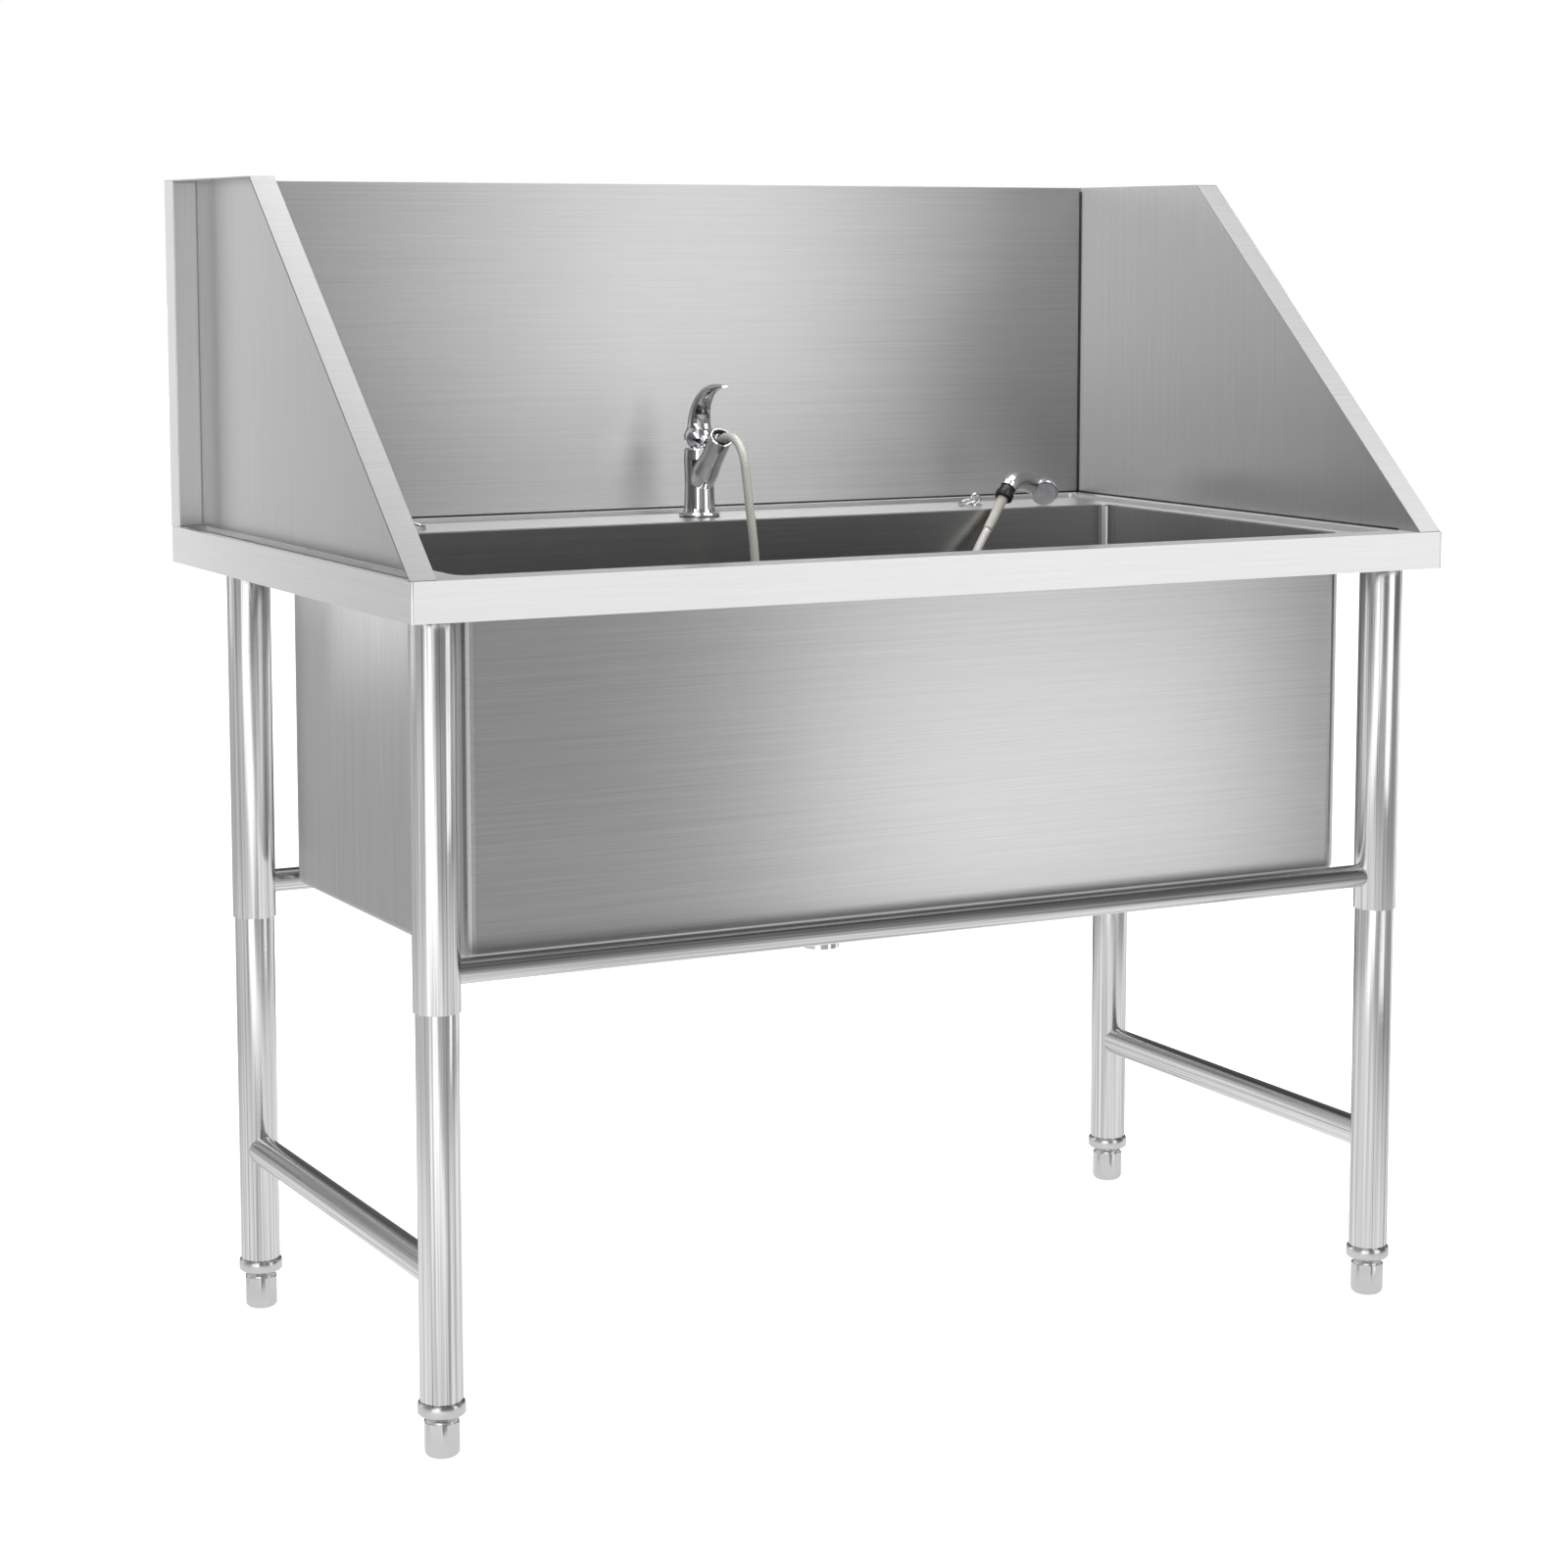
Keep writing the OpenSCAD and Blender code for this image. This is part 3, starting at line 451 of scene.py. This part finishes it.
def add_end_sheen_plates():
    """Thin plates laid on the back panel's ends, outside the side panels, with a light of their own; their
    lighter copy of the back panel's steel is a painted highlight.
    """
    # Lighter tones than the back panel's steel: a painted highlight on the panel's ends.
    bright = brushed_steel("end_sheen_steel", (0.84, 0.95), 0.34, side_grain=2, front_grain=2)
    for name, side in (("left_end_sheen_plate", -1), ("right_end_sheen_plate", 1)):
        mesh = bpy.data.meshes.new(name)
        bm = bmesh.new()
        bmesh.ops.create_cube(bm, size=1.0)
        for vertex in bm.verts:
            vertex.co.x = side * SHEEN_PLATE_X[vertex.co.x > 0]
            vertex.co.y = BACK_FACE_Y - SHEEN_PLATE_THICK * (vertex.co.y < 0)
            vertex.co.z = SHEEN_PLATE_Z[vertex.co.z > 0]
        bmesh.ops.bevel(
            bm, geom=bm.edges[:], offset=SHEEN_PLATE_THICK * 0.4, segments=2, affect="EDGES", profile=0.5
        )
        bmesh.ops.recalc_face_normals(bm, faces=bm.faces)
        bm.to_mesh(mesh)
        bm.free()
        finish_piece(link_mesh(name, mesh), "tub", bright)


# ---------------------------------------------------------------- CAD nodes


def starts(*prefixes):
    return [name for name in nodes if name.startswith(prefixes)]


EDGE_ANGLE = 32


def dress(names, material, edge=0.0):
    """Gives CAD nodes a material and, where asked, a small rounding along their edges."""
    for name in names:
        node = nodes[name]
        node.data.materials.clear()
        node.data.materials.append(material)
        for polygon in node.data.polygons:
            polygon.material_index = 0
        if edge:
            weld = node.modifiers.new("weld", "WELD")
            weld.merge_threshold = 0.00001
            bevel = node.modifiers.new("edge", "BEVEL")
            bevel.width = edge
            bevel.segments = 2
            bevel.limit_method = "ANGLE"
            bevel.angle_limit = math.radians(EDGE_ANGLE)
            bevel.harden_normals = True


def dress_frame():
    # One steel sheet in four tones: lighter on the deck, darker on the back panel and the bowl, darkest on
    # the side panels. These differences are painted light and shade.
    deck = brushed_steel("deck_steel_painted_lighter", (0.80, 0.92), 0.34, side_grain=1)
    bowl = brushed_steel("bowl_steel", (0.51, 0.66), 0.32, side_grain=2)
    back = brushed_steel("back_steel_painted_darker", (0.60, 0.75), 0.38, side_grain=2)
    side = brushed_steel("side_steel_painted_darker", (0.40, 0.50), 0.34, side_grain=2, front_grain=2)
    upright = polished_tube("upright_tube", 2)
    long_tube = polished_tube("long_tube", 0)
    side_tube = polished_tube("side_tube", 1)
    cast = plated("cast_steel", (0.70, 0.70, 0.70), 0.16, 0.08, 260.0)
    plate = brushed_steel("plate_steel", (0.55, 0.7), 0.38, side_grain=1)
    zinc = plated("zinc", (0.62, 0.63, 0.66), 0.32, 0.1, 300.0)
    chrome = plated("chrome", (0.86, 0.86, 0.88), 0.035, 0.03, 120.0)
    brass = plated("brass", (0.76, 0.58, 0.28), 0.24, 0.08, 260.0)
    rubber = moulded("black_rubber", (0.018, 0.018, 0.019), (0.035, 0.035, 0.036), 0.62)
    black = moulded("black_plastic", (0.012, 0.012, 0.014), (0.025, 0.025, 0.028), 0.36)
    grey = moulded("grey_plastic", (0.62, 0.63, 0.66), (0.74, 0.75, 0.78), 0.35)
    sleeve = moulded(
        "sleeve_plastic", (0.66, 0.63, 0.55), (0.78, 0.76, 0.68), 0.42, depth=0.00003, Subsurface_Weight=0.15
    )
    dress(["deck_rim"], deck, 0.0009)
    dress(["bowl"], bowl, 0.0006)
    dress(["back_splash"], back, 0.0009)
    dress(["left_splash", "right_splash"], side, 0.0009)
    dress(starts("upper_leg", "lower_leg"), upright, 0.0004)
    dress(["front_brace", "rear_brace"], long_tube)
    dress(["left_brace", "right_brace"], side_tube)
    dress(starts("foot_"), cast, 0.0003)
    dress(["leg_plates"], plate, 0.0005)
    dress(["splash_studs", "leg_bolts", "tether_nuts", "shank_washer", "lever_pin"], zinc, 0.0002)
    dress(["drain_flange", "strainer_basket", "drain_locknut"], cast, 0.0002)
    dress(
        ["drain_slip_nut", "drain_tailpiece", "mixer_base_ring", "mixer_body", "lever_ball", "mixer_lever"]
        + ["left_tether_eye", "right_tether_eye", "left_tether_ring", "right_tether_ring", "cartridge_nut"],
        chrome,
    )
    # Rougher than the chrome, and lighter in tone: the rougher finish is the spray's satin, the lighter tone
    # is a painted highlight.
    dress(["spray_body"], plated("spray_chrome_painted_lighter", (0.94, 0.94, 0.95), 0.2, 0.05, 120.0))
    dress(["mixer_shank", "shank_nut", "hot_inlet", "cold_inlet"], brass, 0.0002)
    dress(["mixer_gasket", "drain_gasket", "outlet_liner"], rubber)
    dress(["spray_socket"], black, 0.0004)
    dress(["cartridge", "spray_face"], grey)
    dress(["hose_sleeve"], sleeve, 0.0003)


# ---------------------------------------------------------------- stage and light


# How bright the studio is, by compass angle from +Y towards +X: its walls, and the floor in reflections.
WALLS = [
    (-180, 0.3), (-154, 0.3), (-149, 1.5), (-116, 1.5), (-109, 0.45), (-70, 0.5), (-44, 1.2), (-34, 1.0),
    (-27, 0.4), (-21, 0.3), (-14, 0.6), (0, 0.5), (14, 0.12), (42, 0.12), (58, 0.5), (80, 0.25), (93, 0.9),
    (101, 0.3), (125, 0.15), (150, 0.3), (180, 0.3),
]
FLOOR_REFLECTED = [
    (-180, 0.45), (-154, 0.5), (-149, 1.5), (-118, 1.5), (-110, 0.6), (-70, 0.6), (-30, 0.5), (-6, 0.5),
    (14, 0.12), (42, 0.12), (64, 0.7), (90, 1.1), (104, 0.4), (135, 0.3), (160, 0.42), (180, 0.45),
]
# How much of the walls' brightness is left, by the sine of the height above the horizon.
CEILING = [(0.0, 1.0), (0.5, 0.6), (1.0, 0.4)]
# In reflections the floor has this brightness near the middle, and FLOOR_REFLECTED's a metre further out.
NEAR_FLOOR = 0.85
NEAR_RADIUS = 0.7
FLOOR_HALF = 60.0
FLOOR_LIGHT = 2.0
FLOOR_GLOW = 0.8


def add_floor():
    """A pale matt floor. Reflections show its studio cards instead, which differ by compass angle."""
    mesh = bpy.data.meshes.new("floor")
    half = FLOOR_HALF
    corners = [(-half, -half, 0), (half, -half, 0), (half, half, 0), (-half, half, 0)]
    mesh.from_pydata(corners, [], [(0, 1, 2, 3)])
    floor = link_mesh("floor", mesh)
    shader = Shader("floor", roughness=1.0, color=(0.6, 0.6, 0.6), Specular_IOR_Level=0.0)
    nodes_of, links = shader.tree.nodes, shader.tree.links
    at = shader.coords.outputs["Object"]
    away = shader.add("ShaderNodeVectorMath", operation="LENGTH")
    links.new(at, away.inputs[0])
    far = shader.math("SUBTRACT", away.outputs["Value"], NEAR_RADIUS, clamp=True)
    cards = shader.add("ShaderNodeMix", data_type="RGBA")
    links.new(far, cards.inputs[0])
    cards.inputs[6].default_value = (NEAR_FLOOR, NEAR_FLOOR, NEAR_FLOOR, 1)
    links.new(compass_ramp(shader.tree, at, FLOOR_REFLECTED), cards.inputs[7])
    reflected = shader.add("ShaderNodeEmission")
    links.new(cards.outputs[2], reflected.inputs["Color"])
    shader.bsdf.inputs["Emission Color"].default_value = (1, 1, 1, 1)
    shader.bsdf.inputs["Emission Strength"].default_value = FLOOR_GLOW
    mix = shader.add("ShaderNodeMixShader")
    rays = shader.add("ShaderNodeLightPath")
    links.new(rays.outputs["Is Camera Ray"], mix.inputs[0])
    links.new(reflected.outputs[0], mix.inputs[1])
    links.new(shader.bsdf.outputs[0], mix.inputs[2])
    links.new(mix.outputs[0], nodes_of["Material Output"].inputs["Surface"])
    floor.data.materials.append(shader.material)


def add_world():
    """A pale room for the camera, and a studio with lighter and darker walls for reflections."""
    world = bpy.data.worlds.new("studio")
    bpy.context.scene.world = world
    world.use_nodes = True
    tree = world.node_tree
    links = tree.links
    direction = tree.nodes.new("ShaderNodeTexCoord").outputs["Generated"]
    height = tree.nodes.new("ShaderNodeSeparateXYZ")
    links.new(direction, height.inputs[0])
    glow = tree.nodes.new("ShaderNodeMix")
    glow.data_type = "RGBA"
    glow.blend_type = "MULTIPLY"
    glow.inputs[0].default_value = 1.0
    links.new(compass_ramp(tree, direction, WALLS), glow.inputs[6])
    links.new(ramp_node(tree, height.outputs[2], CEILING), glow.inputs[7])
    studio = tree.nodes["Background"]
    links.new(glow.outputs[2], studio.inputs["Color"])
    room = tree.nodes.new("ShaderNodeBackground")
    room.inputs["Color"].default_value = (1, 1, 1, 1)
    mix = tree.nodes.new("ShaderNodeMixShader")
    rays = tree.nodes.new("ShaderNodeLightPath")
    links.new(rays.outputs["Is Camera Ray"], mix.inputs[0])
    links.new(studio.outputs[0], mix.inputs[1])
    links.new(room.outputs[0], mix.inputs[2])
    links.new(mix.outputs[0], tree.nodes["World Output"].inputs["Surface"])


def chosen_objects(name, names, state):
    """A collection for light linking."""
    chosen = bpy.data.collections.new(name)
    for member in names:
        chosen.objects.link(bpy.data.objects[member])
    for entry in chosen.collection_objects:
        entry.light_linking.link_state = state
    return chosen


def lit_only(light, names, state="INCLUDE"):
    """The light falls on these objects only, or with EXCLUDE on all the others."""
    light.light_linking.receiver_collection = chosen_objects(light.name + "_lights", names, state)


def casts_no_shadow(light, names):
    """These objects let the light through."""
    light.light_linking.blocker_collection = chosen_objects(light.name + "_passes", names, "EXCLUDE")


def add_light(name, kind, at, toward, energy):
    data = bpy.data.lights.new(name, kind)
    data.energy = energy
    light = bpy.data.objects.new(name, data)
    light.location = at
    light.rotation_euler = (Vector(toward) - Vector(at)).to_track_quat("-Z", "Y").to_euler()
    light.visible_camera = False
    bpy.context.scene.collection.objects.link(light)
    return light


def add_softbox(name, at, toward, size, brightness):
    """An area light that a mirror shows at that brightness."""
    light = add_light(name, "AREA", at, toward, brightness * math.pi * size[0] * size[1])
    light.data.shape = "RECTANGLE"
    light.data.size, light.data.size_y = size
    return light


def add_lights():
    legs = starts("upper_leg", "lower_leg")
    braces = ["front_brace", "rear_brace", "left_brace", "right_brace"]
    panels = ["back_splash", "left_splash", "right_splash"]
    fittings = starts("mixer_", "lever_", "spray_", "left_tether", "right_tether")
    fittings += ["cartridge", "outlet_liner", "hose_sleeve", "pull_out_hose"]

    bowl_left = add_softbox("bowl_left", (-1.3, 2.3, 0.9), (-0.524, -0.1, 0.75), (0.9, 0.5), 3.2)
    lit_only(bowl_left, ["bowl"])
    casts_no_shadow(bowl_left, legs)
    overhead = add_softbox("overhead", (0.7, 0.45, 3.0), (0.4, 0.1, 0), (2.2, 1.0), 3.0)
    lit_only(overhead, ["deck_rim", "bowl"] + legs + braces, "EXCLUDE")
    strip = add_softbox("front_strip", (0.93, -1.56, 1.1), (0.2, 0.3, 0.9), (0.75, 2.2), 1.1)
    lit_only(strip, ["deck_rim", "bowl"] + braces, "EXCLUDE")
    casts_no_shadow(strip, fittings)
    # This one stands below the rim, so the bowl's own wall keeps it out of the bowl.
    bowl_strip = add_softbox("bowl_strip", (0.93, -1.56, 0.30), (0.2, 0.3, 0.5), (0.75, 1.0), 1.25)
    lit_only(bowl_strip, ["bowl"])
    add_softbox("left_strip", (-2.35, -2.2, 1.2), (-0.5, -0.3, 0.7), (0.35, 2.2), 1.1)
    rear = add_softbox("rear_left", (-1.0, 1.63, 1.1), (-0.6, 0.2, 0.85), (0.35, 1.2), 1.7)
    lit_only(rear, ["deck_rim"] + legs + braces, "EXCLUDE")

    apron = add_softbox("apron_fill", (1.2, -2.6, 0.8), (0, 0, 0.86), (3.4, 1.4), 0.95)
    lit_only(apron, ["deck_rim"])
    apron_end = add_softbox("apron_end", (-1.05, 2.3, 0.6), (-0.6, 0.3, 0.84), (0.5, 1.4), 0.6)
    lit_only(apron_end, ["deck_rim"])
    rim_top = add_softbox("rim_top", (0.9, 2.0, 1.25), (0.1, 0.1, 0.86), (3.2, 0.9), 0.7)
    lit_only(rim_top, ["deck_rim", "left_splash", "right_splash"])
    casts_no_shadow(rim_top, panels)
    back_ends = add_softbox("back_ends", (0.9, -2.05, 1.1), (0, 0.33, 1.05), (2.6, 1.8), 1.3)
    lit_only(back_ends, ["left_end_sheen_plate", "right_end_sheen_plate"])
    edge_high = add_softbox("edge_high", (1.77, -0.75, 2.5), (0.57, -0.1, 1.05), (1.3, 1.3), 2.4)
    lit_only(edge_high, ["right_splash"])
    edge_left = add_softbox("edge_left", (-0.05, -0.1, 2.57), (-0.59, -0.1, 1.05), (1.2, 1.2), 0.7)
    lit_only(edge_left, ["left_splash"])
    back_low = add_softbox("back_low", (0.92, -1.56, 0.45), (0.1, 0.33, 0.95), (0.9, 1.0), 0.6)
    lit_only(back_low, ["back_splash"])
    casts_no_shadow(back_low, ["deck_rim", "bowl"] + legs + braces)
    right_side = add_softbox("right_side", (-0.85, 2.1, 1.0), (0.57, 0, 1.0), (2.0, 1.2), 0.35)
    lit_only(right_side, ["right_splash"])
    casts_no_shadow(right_side, panels + ["deck_rim", "bowl"])

    for name, at in (("fittings_left", (-1.9, -0.6, 1.9)), ("fittings_right", (0.9, -0.9, 1.9))):
        lit_only(add_softbox(name, at, (0.1, 0.2, 0.9), (0.8, 0.8), 2.2), fittings)
    lit_only(add_softbox("fittings_high", (0.2, 0.1, 2.4), (0.2, 0.2, 0.9), (1.6, 0.9), 1.6), fittings)
    high = add_light("floor_light", "SUN", (0, 0, 5), (0.3, 0.2, 0), FLOOR_LIGHT)
    high.data.angle = math.radians(75)
    lit_only(high, ["floor"])


add_camera()
add_hose()
add_seam_shade_beads()
add_end_sheen_plates()
dress_frame()
add_floor()
add_world()
add_lights()
bpy.context.scene.view_settings.view_transform = "Standard"

bpy.context.view_layer.update()
